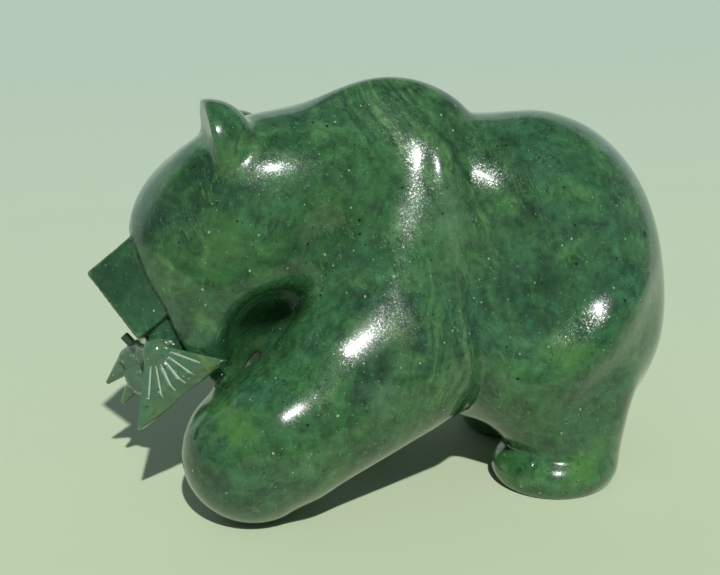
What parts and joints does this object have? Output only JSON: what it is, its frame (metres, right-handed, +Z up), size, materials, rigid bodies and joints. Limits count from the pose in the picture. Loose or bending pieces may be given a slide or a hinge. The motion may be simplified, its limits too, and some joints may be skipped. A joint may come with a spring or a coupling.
{
  "type": "bear figurine",
  "caption": "Polished green jade carving of a standing bear with its head lowered and turned, holding a small fish in its mouth.",
  "frame": {"origin": "centre of the bounding box at the height of the soles", "axes": "+X from head to rump, -Y the bear's left side, +Z up"},
  "size_m": [0.2, 0.1128, 0.1388],
  "materials": {
    "green_jade": "polished nephrite, glossy with fine scratches",
    "fish_jade": "polished nephrite, lighter and yellower"
  },
  "bodies": {
    "root": {"bear": "green_jade", "fish": "fish_jade"}
  },
  "joints": []
}
